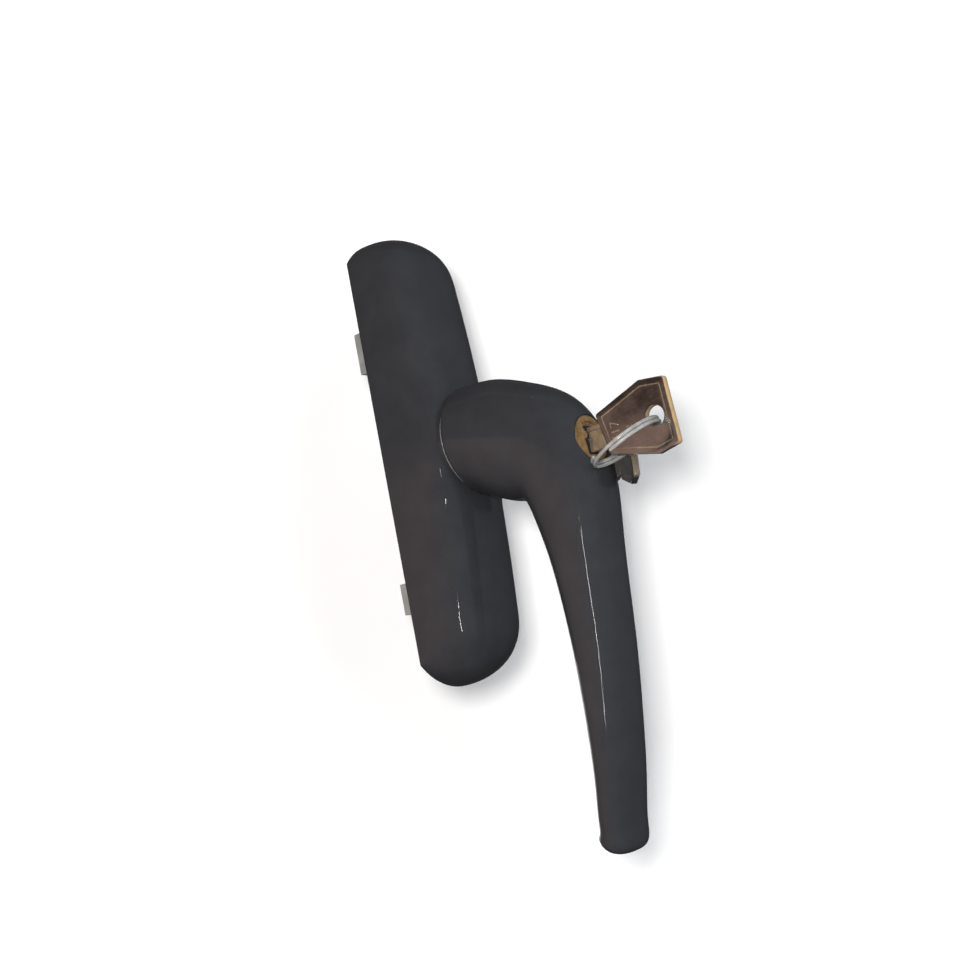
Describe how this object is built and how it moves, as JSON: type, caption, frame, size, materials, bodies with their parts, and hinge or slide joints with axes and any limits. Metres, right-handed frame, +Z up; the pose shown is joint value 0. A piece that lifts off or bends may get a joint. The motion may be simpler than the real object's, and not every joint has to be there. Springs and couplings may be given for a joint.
{
  "type": "locking window handle",
  "caption": "Cranked lever handle with a key lock in its neck, on an arched base cover with two rack-driven lugs behind, key and spare on a ring.",
  "frame": {"origin": "where the spindle's axis meets the mounting face against the window frame", "axes": "+X to the right seen from the room, +Y into the window frame, +Z up; the lever hangs down (window closed)"},
  "size_m": [0.0607, 0.1227, 0.2208],
  "materials": {
    "paint": "smooth satin anthracite powder paint",
    "zinc": "bare die-cast zinc, dull grey",
    "plate_steel": "zinc-plated sheet steel",
    "screw_steel": "zinc-plated steel",
    "gear_steel": "machined steel, lightly oiled",
    "nylon": "black nylon",
    "brass": "turned brass, slightly tarnished",
    "nickel": "nickel-plated brass, fine wear"
  },
  "bodies": {
    "base": {"base_cover": "paint", "back_plate": "zinc", "front_plate": "plate_steel", "index_socket": "zinc", "neck_washer": "nylon", "cover_screws": "screw_steel", "plate_screws": "screw_steel", "socket_screws": "screw_steel"},
    "upper_rack": {"upper_rack": "zinc"},
    "lower_rack": {"lower_rack": "zinc"},
    "lever": {"lever": "paint", "spindle": "gear_steel", "spindle_clip": "screw_steel", "pinion": "gear_steel", "detent_balls": "gear_steel", "detent_springs": "gear_steel", "lock_housing": "brass", "lock_retainer": "screw_steel"},
    "plug": {"lock_plug": "brass", "wafers": "brass", "wafer_springs": "gear_steel", "cam_sleeve": "gear_steel", "plug_clip": "screw_steel"},
    "bolt": {"locking_pin": "gear_steel", "cross_pin": "gear_steel"},
    "key": {"key": "nickel"},
    "ring": {"key_ring": "nickel"},
    "second_key": {"second_key": "nickel"}
  },
  "joints": [
    {"name": "handle_turn", "type": "hinge", "parent": "base", "child": "lever", "pos_m": [0, 0, 0], "axis": [0, -1, 0], "range_deg": [0, 90]},
    {"name": "upper_rack_slide", "type": "slide", "parent": "base", "child": "upper_rack", "axis": [0, 0, 1], "range_m": [-0.0158, 0]},
    {"name": "lower_rack_slide", "type": "slide", "parent": "base", "child": "lower_rack", "axis": [0, 0, 1], "range_m": [0, 0.0158]},
    {"name": "key_turn", "type": "hinge", "parent": "lever", "child": "plug", "pos_m": [0, -0.0729, -0.012], "axis": [0, -1, 0], "range_deg": [0, 90]},
    {"name": "bolt_slide", "type": "slide", "parent": "lever", "child": "bolt", "axis": [0, 1, 0], "range_m": [0, 0.005]},
    {"name": "key_pull", "type": "slide", "parent": "plug", "child": "key", "axis": [0, -1, 0], "range_m": [0, 0.03]},
    {"name": "ring_swing", "type": "hinge", "parent": "key", "child": "ring", "pos_m": [0, -0.0987, -0.0112], "axis": [-1, 0, 0], "range_deg": [0, 45]},
    {"name": "second_key_swing", "type": "hinge", "parent": "ring", "child": "second_key", "pos_m": [0.00631, -0.08298, -0.01725], "axis": [0.4386, -0.7989, 0.4116], "range_deg": [0, 10]}
  ],
  "couplings": [
    {"joint": "upper_rack_slide", "follows": "handle_turn", "m_per_rad": -0.01},
    {"joint": "lower_rack_slide", "follows": "handle_turn", "m_per_rad": 0.01},
    {"joint": "bolt_slide", "follows": "key_turn", "m_per_rad": 0.0031831}
  ]
}
